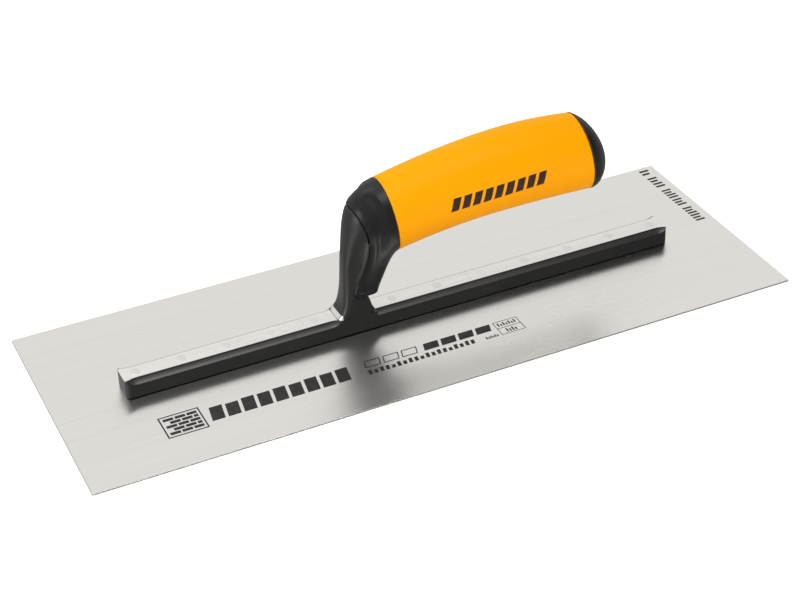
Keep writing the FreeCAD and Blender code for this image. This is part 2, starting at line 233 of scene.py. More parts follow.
# Scratches: thin lines where a stretched, turned cell pattern is near its borders.
def scratchMasks(group, given):
    turned = addNode(group, "ShaderNodeVectorRotate", {
        "Vector": given["Vector"], "Angle": given["Turn"]}, rotation_type="Z_AXIS").outputs[0]
    drawn = vectors(group, "MULTIPLY", turned, (0.16, 1.0, 1.0))
    wobble = noise(group, drawn, 22.0, output="Color")
    moved = vectors(group, "MULTIPLY", wobble, (0.012, 0.012, 0.012))
    cells = addNode(group, "ShaderNodeTexVoronoi", {
        "Vector": vectors(group, "ADD", drawn, moved), "Scale": given["Scale"]},
        feature="DISTANCE_TO_EDGE")
    line = ranged(group, cells.outputs["Distance"], 1.0, 0.0, 0.0, 0.02)
    kept = ranged(group, noise(group, given["Vector"], 45.0), 0.0, 1.0, 0.48, 0.62)
    return {"Mask": computed(group, "MULTIPLY", line, kept)}


brushing = newGroup("Brushing", brushingMasks, Along=6.0, Across=900.0)
grain = newGroup("Grain", grainMasks, Scale=2500.0)
edgeWearAndShade = newGroup("EdgeWearAndShade", edgeWearAndShadeMasks, Amount=0.5)
scratches = newGroup("Scratches", scratchMasks, Scale=60.0, Turn=0.4)
print("shader groups are built")


def newMaterial(name, **sockets):
    material = bpy.data.materials.new(name)
    material.use_nodes = True
    tree = material.node_tree
    shader = tree.nodes["Principled BSDF"]
    for key, value in sockets.items():
        shader.inputs[key.replace("_", " ")].default_value = value
    coordinates = addNode(tree, "ShaderNodeTexCoord").outputs["Object"]
    return material, tree, shader, coordinates


def useGroup(tree, group, **inputs):
    return addNode(tree, "ShaderNodeGroup", inputs, node_tree=group).outputs


def mixed(tree, factor, first, second):
    return addNode(tree, "ShaderNodeMix", {0: factor, 6: first, 7: second},
                   data_type="RGBA").outputs[2]


def tinted(tree, colour, mask, share, tone):  # a share of the mask turns the colour to the tone
    return mixed(tree, computed(tree, "MULTIPLY", mask, share), colour, tone)


def roughened(tree, rough, mask, amount):
    return computed(tree, "ADD", rough, computed(tree, "MULTIPLY", mask, amount))


def bumped(tree, height, strength, distance, before=None):
    inputs = {"Height": height, "Strength": strength, "Distance": distance * mm}
    if before is not None:
        inputs["Normal"] = before
    return addNode(tree, "ShaderNodeBump", inputs).outputs["Normal"]


def connect(tree, shader, colour, rough, normal):
    for label, value in (("Base Color", colour), ("Roughness", rough), ("Normal", normal)):
        tree.links.new(value, shader.inputs[label])


def rgb(red, green, blue):
    return (red, green, blue, 1.0)


# brushed sheet steel: streaks in colour, roughness and height, with faint handling scratches
brushedSteelLook = {
    "light": rgb(0.785, 0.775, 0.752), "dark": rgb(0.735, 0.726, 0.705),
    "worn": rgb(0.60, 0.59, 0.58), "roughness": (0.23, 0.28), "anisotropy": 0.7}


def makeBrushedSteel():
    look = brushedSteelLook
    material, tree, shader, place = newMaterial(
        "brushedSteel", Metallic=1.0, Anisotropic=look["anisotropy"])
    lines = useGroup(tree, brushing, Vector=place, Along=5.0, Across=1100.0)
    marks = useGroup(tree, scratches, Vector=place, Scale=70.0, Turn=0.15)
    worn = useGroup(tree, edgeWearAndShade, Vector=place, Amount=1.0)
    colour = mixed(tree, ranged(tree, lines["Streaks"], 0.0, 1.0, 0.3, 0.7),
                   look["dark"], look["light"])
    colour = mixed(tree, ranged(tree, lines["Bands"], 0.0, 0.4, 0.35, 0.75), colour, look["light"])
    colour = mixed(tree, worn["Mask"], colour, look["worn"])
    rough = roughened(tree, ranged(tree, lines["Bands"], *look["roughness"]), marks["Mask"], 0.04)
    normal = bumped(tree, lines["Streaks"], 0.05, 0.02)
    connect(tree, shader, colour, rough, bumped(tree, marks["Mask"], 0.02, 0.02, normal))
    tangent = addNode(tree, "ShaderNodeTangent", direction_type="UV_MAP", uv_map="lengthwise")
    tree.links.new(tangent.outputs[0], shader.inputs["Tangent"])
    return material


# milled aluminium of the lands: bright, with cutter lines along X, small scratches across and
# painted shade: a dark line along the land's edges
milledLook = {
    "dark": rgb(0.70, 0.69, 0.67), "light": rgb(0.85, 0.84, 0.82),
    # rim: the dark tone of a line of painted shade along the land's edges
    "scratch": rgb(0.52, 0.51, 0.50), "rim": rgb(0.12, 0.118, 0.115), "roughness": (0.30, 0.46)}


def makeMilledAluminium():
    look = milledLook
    material, tree, shader, place = newMaterial("milledAluminium", Metallic=1.0)
    lines = useGroup(tree, brushing, Vector=place, Along=20.0, Across=2600.0)
    marks = useGroup(tree, scratches, Vector=place, Scale=260.0, Turn=1.1)
    rim = useGroup(tree, edgeWearAndShade, Vector=place, Amount=1.0)
    colour = mixed(tree, ranged(tree, lines["Streaks"], 0.0, 1.0, 0.3, 0.7),
                   look["dark"], look["light"])
    colour = tinted(tree, colour, marks["Mask"], 0.6, look["scratch"])
    # painted shade: the rim tone darkens the land in a thin line along its edges
    colour = mixed(tree, rim["Mask"], colour, look["rim"])
    normal = bumped(tree, lines["Streaks"], 0.22, 0.03)
    connect(tree, shader, colour, ranged(tree, lines["Bands"], *look["roughness"]),
            bumped(tree, marks["Mask"], 0.25, 0.03, normal))
    return material


# Moulded, cast and coated finishes: slow patches change tone and roughness, the grain raises the
# face, and its edges are rubbed to another tone, by amount, share and tone.
grainedLooks = {
    "blackCoat": {  # satin coat of the casting
        "even": {"Specular_IOR_Level": 0.5}, "grain": 1500.0,
        "tones": (rgb(0.006, 0.006, 0.0062), rgb(0.011, 0.0106, 0.0103)),
        "wear": (0.5, 0.5, rgb(0.16, 0.155, 0.15)), "scratches": 0.12,
        "roughness": (0.34, 0.46), "bump": (0.12, 0.05)},
    "blackPlastic": {  # collar and cap, with a finer grain and a little rougher than the coat
        "even": {"Specular_IOR_Level": 0.30}, "grain": 3200.0,
        "tones": (rgb(0.005, 0.005, 0.0052), rgb(0.009, 0.0088, 0.0086)),
        "wear": (0.42, 0.35, rgb(0.10, 0.10, 0.10)),
        "roughness": (0.36, 0.48), "bump": (0.16, 0.04)},
    "gripYellow": {  # satin orange-yellow, and a painted reflection: a pale grey in place of the yellow where the steel mirrors it
        "even": {"Specular_IOR_Level": 0.05, "Subsurface_Weight": 0.06,
                 "Subsurface_Radius": (2 * mm, 0.8 * mm, 0.2 * mm), "Subsurface_Scale": 1.0},
        "grain": 2800.0, "tones": (rgb(0.93, 0.338, 0.0003), rgb(0.96, 0.368, 0.0006)),
        "wear": (0.4, 0.25, rgb(0.55, 0.20, 0.01)), "mirrored": rgb(0.80, 0.79, 0.78),
        "roughness": (0.40, 0.52), "bump": (0.14, 0.04)},
    "corePlastic": {  # natural plastic, seen only when the handle is taken apart
        "even": {"Specular_IOR_Level": 0.4}, "grain": 900.0,
        "tones": (rgb(0.05, 0.05, 0.052), rgb(0.08, 0.08, 0.08)),
        "roughness": (0.5, 0.65), "bump": (0.2, 0.06)}}


def makeGrained(name):
    look = grainedLooks[name]
    material, tree, shader, place = newMaterial(name, **look["even"])
    skin = useGroup(tree, grain, Vector=place, Scale=look["grain"])
    colour = mixed(tree, skin["Patches"], *look["tones"])
    rough = ranged(tree, skin["Patches"], *look["roughness"])
    if "wear" in look:
        amount, share, tone = look["wear"]
        worn = useGroup(tree, edgeWearAndShade, Vector=place, Amount=amount)
        colour = tinted(tree, colour, worn["Mask"], share, tone)
    if "scratches" in look:
        marks = useGroup(tree, scratches, Vector=place, Scale=120.0, Turn=0.5)
        rough = roughened(tree, rough, marks["Mask"], look["scratches"])
    # painted reflection: glossy rays see the mirrored tone in place of the piece's own colour
    if "mirrored" in look:
        glossyRay = addNode(tree, "ShaderNodeLightPath").outputs["Is Glossy Ray"]
        colour = mixed(tree, glossyRay, colour, look["mirrored"])
    connect(tree, shader, colour, rough, bumped(tree, skin["Height"], *look["bump"]))
    return material


# printing ink: dark, a little worn through where the grain is high
def makeInk(name, dark, thin):
    material, tree, shader, place = newMaterial(name, Specular_IOR_Level=0.3)
    skin = useGroup(tree, grain, Vector=place, Scale=900.0)
    tone = ranged(tree, skin["Height"], 0.0, 1.0, 0.45, 0.75)
    connect(tree, shader, mixed(tree, tone, dark, thin), ranged(tree, skin["Patches"], 0.45, 0.6),
            bumped(tree, skin["Height"], 0.1, 0.01))
    return material


# turned or plated metal inside the handle, and the rivets: grain with short scratches
def makePlainMetal(name, light, dark, roughness):
    material, tree, shader, place = newMaterial(name, Metallic=1.0)
    skin = useGroup(tree, grain, Vector=place, Scale=1800.0)
    marks = useGroup(tree, scratches, Vector=place, Scale=300.0, Turn=0.8)
    colour = mixed(tree, skin["Patches"], dark, light)
    connect(tree, shader, tinted(tree, colour, marks["Mask"], 0.5, dark),
            ranged(tree, skin["Patches"], roughness - 0.05, roughness + 0.07),
            bumped(tree, skin["Height"], 0.15, 0.02))
    return material


brushedSteel = makeBrushedSteel()
milledAluminium = makeMilledAluminium()
blackCoat, blackPlastic, gripYellow, corePlastic = [makeGrained(name) for name in grainedLooks]
bladeInk = makeInk("bladeInk", rgb(0.010, 0.009, 0.010), rgb(0.035, 0.032, 0.032))
gripInk = makeInk("gripInk", rgb(0.030, 0.014, 0.008), rgb(0.075, 0.030, 0.010))
rivetSteel = makePlainMetal("rivetSteel", rgb(0.80, 0.79, 0.77), rgb(0.62, 0.61, 0.60), 0.38)
zincSteel = makePlainMetal("zincSteel", rgb(0.66, 0.67, 0.68), rgb(0.48, 0.49, 0.51), 0.3)
print("materials are built")


bladeShape = {"cornerRadius": 0.8, "edgeRadius": 0.12, "cornerSteps": 10, "sideSteps": 24,
              "flatInset": 0.35, "rowShares": (0.0, 0.25, 0.6, 0.9, 0.985)}


# Outline of a rectangle with round corners: quarter circles joined by straight runs, the same
# number of points for every inset, so that insets of it stack into a surface.
def bladeOutline(halfLength, halfWidth, inset):
    turn = np.linspace(0, math.pi / 2, bladeShape["cornerSteps"])
    points = []
    small = max(bladeShape["cornerRadius"] - inset, 1e-4)
    for quarter in range(4):
        signX = 1 if quarter in (0, 3) else -1
        signY = 1 if quarter < 2 else -1
        angle = turn + quarter * math.pi / 2
        centre = np.array([signX * (halfLength - inset - small), signY * (halfWidth - inset - small)])
        points.append(centre + small * np.stack([np.cos(angle), np.sin(angle)], -1))
    outline = []
    share = np.linspace(0, 1, bladeShape["sideSteps"] + 2)[1:-1, None]
    for quarter in range(4):
        start = points[quarter][-1]
        end = points[(quarter + 1) % 4][0]
        outline += [points[quarter], start + (end - start) * share]
    return np.concatenate(outline)


# The blade is a stack of insets of its outline: the flat underside from its middle line out to
# the edge, a small quarter round, the edge, another quarter round, and the top back to the middle.
def makeBlade():
    shape = bladeShape
    half = (bladeHigh - bladeLow)[:2] / 2
    low, high = bladeLow[2], bladeHigh[2]
    turn = np.linspace(0, math.pi / 2, 5)
    sine = shape["edgeRadius"] * (1 - np.sin(turn))
    cosine = shape["edgeRadius"] * (1 - np.cos(turn))
    insets = np.concatenate([[shape["flatInset"]], sine, cosine, [shape["flatInset"]]])
    heights = np.concatenate([[low], low + cosine, high - sine, [high]])
    outlines = [bladeOutline(*half, inset) for inset in insets]
    rings = [np.column_stack([outline, np.full(len(outline), height)])
             for outline, height in zip(outlines, heights)]
    below = [rings[0] * np.array([1, share, 1]) for share in shape["rowShares"]]
    above = [rings[-1] * np.array([1, share, 1]) for share in shape["rowShares"][::-1]]
    flat = np.zeros(len(below) + 1)
    edge = np.concatenate([flat, np.ones(len(rings) - 2), flat])
    makePiece("trowelBlade", [sheet(np.stack(below + rings + above), edge=edge[:, None])],
              [brushedSteel], "blade")


makeBlade()


barShape = {
    "length": 286.6, "baseWidth": 14.8, "topWidth": 14.2, "top": 9.8, "cornerRadius": 2.5,
    "landWidth": 9.0, "cutterRadius": 11.0, "leftLandEnd": -38.0, "rightLandStart": -18.2,
    "leftCutterStart": -137.2, "leftCutterEnd": -42.1, "rightCutterEnd": 137.2, "landRim": 0.25,
    "stepDown": 0.22, "stepRow": 0.85, "stepLean": (0.01, 0.02), "faceMiddle": (0.58, 0.46),
    "faceFoot": 0.84, "landCorner": 2.2, "footRebate": 0.9,
    "sideDown": (0.05, 0.1, 0.3, 0.6, 0.935, 0.935, 1.0)}


# One side of the bar's section at each station along X. A round cutter leaves the land's edge at
# centre line - sqrt(radius^2 - overrun^2), where overrun is how far past the cutter's straight
# run the station lies, and takes radius - sqrt((centre line - side)^2 + overrun^2) off the side.
# The land stands on a small upright step, and from its foot a quadratic curve, getting steeper
# outwards, goes to the side.
def barSection(stations, endDistance):
    shape = barShape
    top, radius = shape["top"], shape["cutterRadius"]
    centre = shape["landWidth"] / 2 + radius
    corner = shape["cornerRadius"]
    lost = corner - np.sqrt(np.maximum(corner ** 2 - np.maximum(corner - endDistance, 0) ** 2, 0))
    sideTop = shape["topWidth"] / 2 - lost
    sideBase = shape["baseWidth"] / 2 - lost
    overrunLeft = np.maximum(np.maximum(shape["leftCutterStart"] - stations,
                                        stations - shape["leftCutterEnd"]), 0)
    overrunRight = np.maximum(stations - shape["rightCutterEnd"], 0)
    onRight = stations >= shape["rightLandStart"]
    between = (stations > shape["leftLandEnd"]) & ~onRight
    overrun = np.where(onRight, overrunRight, overrunLeft)
    overrun = np.where(between, radius, overrun)
    landEdge = centre - np.sqrt(np.maximum(radius ** 2 - overrun ** 2, 0))
    landCorner = shape["landCorner"]
    toLeftEnd = np.where(stations < 0, np.maximum(landCorner - endDistance, 0), 0)
    landEdge = landEdge - (landCorner - np.sqrt(landCorner ** 2 - toLeftEnd ** 2))
    landY = np.minimum(landEdge, sideTop)[:, None]
    landZ = np.full_like(landY, top)
    width = sideTop[:, None] - landY
    deep = radius - np.sqrt((centre - sideTop) ** 2 + overrun ** 2)[:, None]
    deep = np.clip(deep, 0, width)
    t = np.linspace(0, 1, 11)[None, :]
    faceOut, faceDown = shape["faceMiddle"]
    leanTop, leanFoot = shape["stepLean"]
    step = shape["stepDown"]
    y = landY + width * (2 * t * (1 - t) * faceOut + t ** 2)
    z = top - deep * (step * (1 - t) ** 2 + 2 * t * (1 - t) * faceDown + shape["faceFoot"] * t ** 2)
    y = np.concatenate([landY - shape["landRim"], landY, landY + leanTop * width,
                        y + leanFoot * width * (1 - t)], 1)
    z = np.concatenate([landZ, landZ, landZ - deep * step * shape["stepRow"], z], 1)
    return sideTop[:, None], sideBase[:, None], np.maximum(y, 0), z


# The bar is that section carried along X, mirrored for the far side, with its middle line
# folded shut, and each end rounded in plan by stations on a quarter circle.
def barSheet():
    shape = barShape
    half = shape["length"] / 2
    top, base = shape["top"], bladeHigh[2]
    turn = np.linspace(0, math.pi / 2, 9)
    fromEnd = shape["cornerRadius"] * (1 - np.cos(turn))
    left = -half + fromEnd
    right = half - fromEnd[::-1]
    inside, hair = 0.3, 0.01  # just inside a cutter's end, and just before a land's
    leftStart = shape["leftCutterStart"] + inside
    rightEnd = shape["rightCutterEnd"] - inside
    stations = np.concatenate([
        left, np.linspace(left[-1], leftStart, 16)[1:],
        np.linspace(leftStart, shape["leftCutterEnd"], 40)[1:],
        np.linspace(shape["leftCutterEnd"], shape["leftLandEnd"] - hair, 12)[1:],
        np.linspace(shape["leftLandEnd"], shape["rightLandStart"] - 2 * hair, 10),
        np.linspace(shape["rightLandStart"], rightEnd, 60),
        np.linspace(rightEnd, right[0], 12)[1:-1], right])
    sideTop, sideBase, y, z = barSection(stations, half - np.abs(stations))
    # the side goes down to a small rebate just above the blade
    sideDown = np.array(shape["sideDown"])[None, :]
    tuck = np.zeros_like(sideDown)
    tuck[:, -2:] = shape["footRebate"]
    zShoulder = z[:, -1:]
    zSide = zShoulder + (base - zShoulder) * sideDown
    ySide = sideTop + (sideBase - sideTop) * (top - zSide) / (top - base) - tuck
    column = np.ones((len(stations), 1))
    yHalf = np.concatenate([0 * column, y, ySide, 0 * column], 1)
    zHalf = np.concatenate([top * column, z, zSide, base * column], 1)
    yRing = np.concatenate([-yHalf, yHalf[:, -2:0:-1]], 1)
    zRing = np.concatenate([zHalf, zHalf[:, -2:0:-1]], 1)
    points = np.stack([np.broadcast_to(stations[:, None], yRing.shape), yRing, zRing], -1)
    shut = np.array([1, 0, 1])
    points = np.concatenate([points[:1] * shut, points, points[-1:] * shut])
    edge = np.zeros(yRing.shape[1])
    # the land's edges carry the edge value: rubbed wear on the coat, and a line of painted shade on the
    # milled land
    edge[2] = edge[-2] = 1.0

    def finish(centres):  # 1 is bare milled metal: the lands on top
        flat = centres[:, 2] > top - 0.015
        onLand = (centres[:, 0] < shape["leftLandEnd"]) | (centres[:, 0] > shape["rightLandStart"])
        return (flat & onLand).astype(int)

    return sheet(points, finish=finish, edge=edge[None, :])


gripShape = {
    "tilt": 9.0, "frontX": -9.8, "rearX": 93.1, "climb": (57.7, 22.6, -16.4, 0.2),
    "halfHeights": (19.3, 19.7, 20.2, 20.8, 20.9, 20.4),
    "halfWidths": (15.2, 15.5, 16.0, 16.4, 16.5, 16.1), "wall": 3.0, "edgeRound": 0.45,
    "gap": 0.12}
gripTilt = math.radians(gripShape["tilt"])
gripUp = np.array([-math.sin(gripTilt), 0, math.cos(gripTilt)])
gripOut = np.array([math.cos(gripTilt), 0, math.sin(gripTilt)])
gripSizes = smoothThrough(np.linspace(0, 1, 6),
                          np.column_stack([gripShape["halfHeights"], gripShape["halfWidths"]]))


# Centre of the grip's section at a share t of its length: straight along X, and in Z a cubic.
def gripCentre(t):
    t = np.asarray(t, float)
    x = gripShape["frontX"] + (gripShape["rearX"] - gripShape["frontX"]) * t
    z = sum(factor * t ** power for power, factor in enumerate(gripShape["climb"]))
    return np.stack([x, np.zeros_like(x), z], -1)


# A point of the grip: the centre plus an ellipse in the tilted plane. The angle runs from the
# top (0) over the near side (90 degrees) to the bottom.
def gripPoint(t, angle, inset=0.0, shift=0.0):
    sizes = gripSizes(t)
    centre = gripCentre(t) + np.asarray(shift)[..., None] * gripOut
    tall = sizes[..., 0] - inset
    wide = sizes[..., 1] - inset
    return (centre + (tall * np.cos(angle))[..., None] * gripUp
            - (wide * np.sin(angle))[..., None] * np.array([0.0, 1.0, 0.0]))


seamTop = gripCentre(0) + gripUp * gripShape["halfHeights"][0]
seamBottom = gripCentre(0) - gripUp * gripShape["halfHeights"][0]
neckShape = {
    # front point, back point (X, Z), half-width and roundness, from the foot in the bar up to
    # the oval at the front of the grip
    "sections": (
        (-38.6, 5.0, -18.2, 5.0, 7.10, 5.0), (-37.9, 9.6, -18.2, 9.6, 7.10, 5.0),
        (-35.7, 12.4, -18.0, 12.4, 7.05, 4.5), (-34.2, 16.5, -17.2, 16.0, 6.95, 4.0),
        (-33.5, 22.5, -15.3, 20.8, 6.90, 3.1), (-33.1, 30.0, -12.7, 26.0, 7.05, 2.75),
        (-32.7, 38.5, -10.4, 30.6, 7.70, 2.5), (-31.8, 48.5, -8.6, 34.2, 9.00, 2.35),
        (-30.4, 58.0, -7.6, 36.6, 11.00, 2.3), (-27.2, 67.0, -7.0, 37.9, 13.20, 2.15),
        (-21.2, 73.6, -6.7, 38.5, 14.70, 2.05),
        (seamTop[0], seamTop[2], seamBottom[0], seamBottom[2], 15.2, 2.0)),
    "parting": (
        (-31.5, 67.4), (-28.2, 66.2), (-25.9, 62.4), (-24.0, 56.8), (-22.8, 51.0),
        (-22.2, 45.0), (-22.8, 38.4), (-25.0, 32.0), (-28.0, 26.0), (-29.2, 22.8),
        (-28.85, 21.0), (-27.55, 20.09), (-22.0, 19.46), (-14.0, 18.55)),
    "cornerX": -28.85,
    "ridge": ((-23.2, 76.6), (-20.0, 69.2), (-18.3, 60.6), (-17.8, 49.4), (-17.8, 42.0)),
    "lipWidth": 2.3, "lipDrop": 0.9, "gap": 0.24, "valleyDepth": 0.9, "valleyWidth": 4.5,
    "wideGap": 0.55, "boreShare": 0.62, "heelTop": (-22.4, 19.5), "heelFoot": (-19.4, 9.8),
    "lipLow": 20.5, "lipHigh": 53.0, "turnShare": 0.12, "collarTurns": (0, 55, 125, 180),
    "footTurns": (0, 12, 40, 180), "collarWall": 1.6, "castingWall": 2.0, "sink": (0.35, 2.5),
    "bareFoot": {"behind": -35.6, "low": 9.0, "high": 11.6, "halfWidth": 7.0}}

sectionTable = np.array(neckShape["sections"])
sectionSteps = np.linalg.norm(np.diff(sectionTable[:, :4], axis=0), axis=1)
sectionKnots = np.concatenate([[0], np.cumsum(sectionSteps)])
neckLength = sectionKnots[-1]
neckSection = smoothThrough(sectionKnots, sectionTable)


# A point of the neck: s is the place of its section along the neck, and the angle runs round a
# superellipse from the front (0) over one side (90 degrees) to the back (180 degrees). Along
# the section it is -sign(cos)|cos|^(2/n), and across it |sin|^(2/n), for roundness n.
def neckPoint(s, angle, side):
    section = neckSection(s)
    front = section[..., 0:2]
    back = section[..., 2:4]
    power = 2 / section[..., 5]
    cosine = np.cos(angle)
    along = -np.sign(cosine) * np.abs(cosine) ** power
    across = np.abs(np.sin(angle)) ** power * section[..., 4]
    middle = (front + back) / 2 + (back - front) / 2 * along[..., None]
    return np.stack([middle[..., 0], side * across, middle[..., 1]], -1)


# Where a point of the side view lies on the neck: the section whose line passes through it,
# found in a table by the sign of a cross product, and the angle at which it is reached.
def neckPlace(x, z):
    table = np.linspace(0, neckLength, 4000)
    section = neckSection(table)
    chord = section[:, 2:4] - section[:, 0:2]
    toX = x[:, None] - section[None, :, 0]
    toZ = z[:, None] - section[None, :, 1]
    cross = chord[None, :, 0] * toZ - chord[None, :, 1] * toX
    turns = np.argmax(cross < 0, axis=1)
    turns = np.clip(turns, 1, len(table) - 1)
    row = np.arange(len(x))
    before, after = cross[row, turns - 1], cross[row, turns]
    share = before / (before - after)
    s = table[turns - 1] + share * (table[1] - table[0])
    exact = neckSection(s)
    line = exact[:, 2:4] - exact[:, 0:2]
    toPoint = np.stack([x, z], -1) - exact[:, 0:2]
    part = (line * toPoint).sum(-1) / (line ** 2).sum(-1)
    along = 2 * part - 1
    cosine = -np.sign(along) * np.abs(np.clip(along, -1, 1)) ** (exact[:, 5] / 2)
    return s, np.arccos(cosine), part


# The parting line as places on the neck, from the apex at the front to the middle of the back,
# at even distances along it.
def partingPlaces(count):
    outline = np.array(neckShape["parting"])
    knots = np.concatenate([[0], np.cumsum(np.linalg.norm(np.diff(outline, axis=0), axis=1))])
    curve = smoothThrough(knots, outline)(np.linspace(0, knots[-1], 3000))
    s, angle, part = neckPlace(curve[:, 0], curve[:, 1])
    first = np.argmax(part > 0)
    last = np.argmax(part > 1) if (part > 1).any() else len(part)
    s, angle = s[first:last], angle[first:last]
    angle[0], angle[-1] = 0.0, math.pi
    points = neckPoint(s, angle, 1)
    length = np.concatenate([[0], np.cumsum(np.linalg.norm(np.diff(points, axis=0), axis=1))])
    even = np.linspace(0, length[-1], count)
    corner = np.argmin(np.abs(curve[first:last, 0] - neckShape["cornerX"])
                       + 10 * (curve[first:last, 1] > 25))
    cornerShare = length[corner] / length[-1]
    return np.interp(even, length, s), np.interp(even, length, angle), even / length[-1], cornerShare


# Both sides of the neck from one: columns run from the apex down one side to the back, and
# then up the other side to the apex.
def bothSides(oneSide):
    mirrored = oneSide[:, -2:0:-1]
    if oneSide.ndim == 3:
        mirrored = mirrored * np.array([1, -1, 1])
    return np.concatenate([oneSide, mirrored], 1)


lineShape = {
    "count": 230, "meanRadius": 9.0, "cornerReach": 4.0, "straightShare": 0.28, "smoothing": 12,
    "leastSwing": 24, "probe": 0.004, "slowest": 8.0, "seamRows": (1.2, 0.8, 0.5, 0.3, 0.18),
    "closeRows": (0.24, 0.28, 0.36, 0.5, 0.7, 1.0, 1.4, 1.9, 2.3, 2.55, 2.9, 3.5)}


# Lines over the neck from the parting line to another ring. Each is a quadratic curve of section
# place and angle, (1-r)^2 start + 2r(1-r) middle + r^2 end, whose middle point makes it leave the
# parting line squarely: straight across where that line runs along the neck, straight along the
# neck where it runs across. The first rows lie at fixed distances, and the rest are even.
def neckLines(s0, a0, s1, a1, towardsBack, evenCount, lastDistances=(), setBack=0.0):
    shape = lineShape
    alongNeck = np.gradient(s0)
    aroundNeck = np.gradient(a0) * shape["meanRadius"]
    across = alongNeck ** 2 / (alongNeck ** 2 + aroundNeck ** 2 + 1e-9)
    # near the parting line's corner the lines from its two sides would meet, so there they run
    # straight to the other ring
    corner = np.argmax(s0 < s0[-1] + shape["cornerReach"])
    fromCorner = np.abs(np.arange(len(s0)) - corner) / len(s0)
    across = across * eased(fromCorner / shape["straightShare"])
    window = np.hanning(2 * shape["smoothing"] + 1)
    padded = np.pad(across, shape["smoothing"], mode="edge")
    across = np.convolve(padded, window / window.sum(), mode="valid")
    sMiddle = s0 + (1 - across) * (s1 - s0)
    swing = np.maximum(towardsBack * (a1 - a0), math.radians(shape["leastSwing"]))
    aMiddle = a0 + across * towardsBack * swing

    def onLine(r):
        s = (1 - r) ** 2 * s0 + 2 * r * (1 - r) * sMiddle + r ** 2 * s1
        a = (1 - r) ** 2 * a0 + 2 * r * (1 - r) * aMiddle + r ** 2 * a1
        return s, a

    small = shape["probe"]
    ends = neckPoint(*onLine(np.array([0, small, 1 - small, 1])[:, None] * np.ones_like(s0)), -1)
    startSpeed, endSpeed = [
        np.maximum(np.linalg.norm(ends[k + 1] - ends[k], axis=1) / small, shape["slowest"])
        for k in (0, 2)]
    close = (np.array(shape["closeRows"])[:, None] + setBack) / startSpeed
    last = 1 - np.array(lastDistances).reshape(-1, 1) / endSpeed
    stop = last[:1] if len(lastDistances) else np.ones((1, len(s0)))
    even = close[-1:] + (stop - close[-1:]) * np.linspace(0, 1, evenCount + 1)[1:, None]
    s, a = onLine(np.concatenate([close, even, last[1:]]))
    points = neckPoint(s, a, -1)
    section = neckSection(s)
    middle = (section[..., 0:2] + section[..., 2:4]) / 2
    centres = np.stack([middle[..., 0], np.zeros_like(s), middle[..., 1]], -1)
    ds, da = 0.05, 0.01
    alongStep = neckPoint(s + ds, a, -1) - neckPoint(s - ds, a, -1)
    aroundStep = neckPoint(s, a + da, -1) - neckPoint(s, a - da, -1)
    normals = unit(np.cross(alongStep, aroundStep))
    normals *= np.sign(((points - centres) * normals).sum(-1, keepdims=True))
    # the distance of each point from the nearest place on the parting line
    line = neckPoint(s0, a0, -1)
    flat = points.reshape(-1, 3)
    squared = ((flat ** 2).sum(1)[:, None] + (line ** 2).sum(1)[None] - 2 * flat @ line.T)
    distance = np.sqrt(np.maximum(squared.min(axis=1), 0)).reshape(s.shape)
    return points, centres, normals, distance


def lipFade(z):  # the lip dies away at its two ends
    low, high = neckShape["lipLow"], neckShape["lipHigh"]
    return eased((high - z) / 6.0) * eased((z - low) / 2.0)


# The front collar: lines run from each place on the parting line to the seam with the grip. Its
# edge along the parting line is rounded and drops as a lip, and in front of the seam a shallow
# valley follows the ridge line, so that the collar flares out to the grip.
def makeCollar():
    shape = neckShape
    s0, a0, share, cornerShare = partingPlaces(lineShape["count"])
    a1 = np.interp(share, [0, shape["turnShare"], cornerShare, 1],
                   np.radians(shape["collarTurns"]))
    s1 = np.full_like(a1, neckLength)
    # low on the sides the gap under the collar's edge is wider
    lineZ = neckPoint(s0, a0, -1)[..., 2]
    setBack = shape["wideGap"] * (
        eased((lineZ - shape["lipLow"]) / 5.0) * eased((shape["lipHigh"] + 3.0 - lineZ) / 16.0))
    grids = neckLines(s0, a0, s1, a1, 1, 110, lineShape["seamRows"], setBack)
    base, centres, normals, distance = [bothSides(grid) for grid in grids]
    fromEdge = distance - shape["gap"] - bothSides(setBack[None])
    toSeam = np.linalg.norm(base[-1:] - base, axis=2)
    x, z = base[..., 0], base[..., 2]
    lip = lipFade(z) * shape["lipDrop"] * np.clip(1 - fromEdge / shape["lipWidth"], 0, 1)
    edgeRound = 0.3 * np.clip(1 - fromEdge / 0.45, 0, 1) ** 2
    seamRound = 0.4 * np.clip(1 - toSeam / 0.5, 0, 1) ** 2
    ridge = np.array(shape["ridge"])
    ridgeZ = np.clip(z, ridge[-1, 1], ridge[0, 1])
    ridgeX = smoothThrough(-ridge[:, 1], ridge[:, 0])(-ridgeZ)[..., 0]
    behind = x - ridgeX
    front = np.clip(1 + behind / 9.0, 0, 1) ** 1.3
    back = np.clip(1 - behind / shape["valleyWidth"], 0, 1)
    onSide = eased((np.abs(base[..., 1]) - 1.5) / 5.0)
    valley = np.where(behind < 0, front, back) * eased((z - 38.0) / 10.0) * onSide
    valley = valley * eased((distance - shape["lipWidth"]) / 3.0) * eased(toSeam / 3.0)
    drop = lip + edgeRound + seamRound + shape["valleyDepth"] * valley
    outer = base - normals * drop[..., None]
    inner = centres + (base - centres) * shape["boreShare"]
    wall = base[:1] - normals[:1] * shape["collarWall"]
    points = np.concatenate([outer, inner[::-6], inner[:1], wall])
    edge = np.zeros(points.shape[:2])
    edge[:len(outer)] = np.clip(1.5 - toSeam * 3, 0, 1)
    makePiece("frontCollar", [sheet(points, closeRows=True, edge=edge)],
              [blackPlastic], "front_collar")


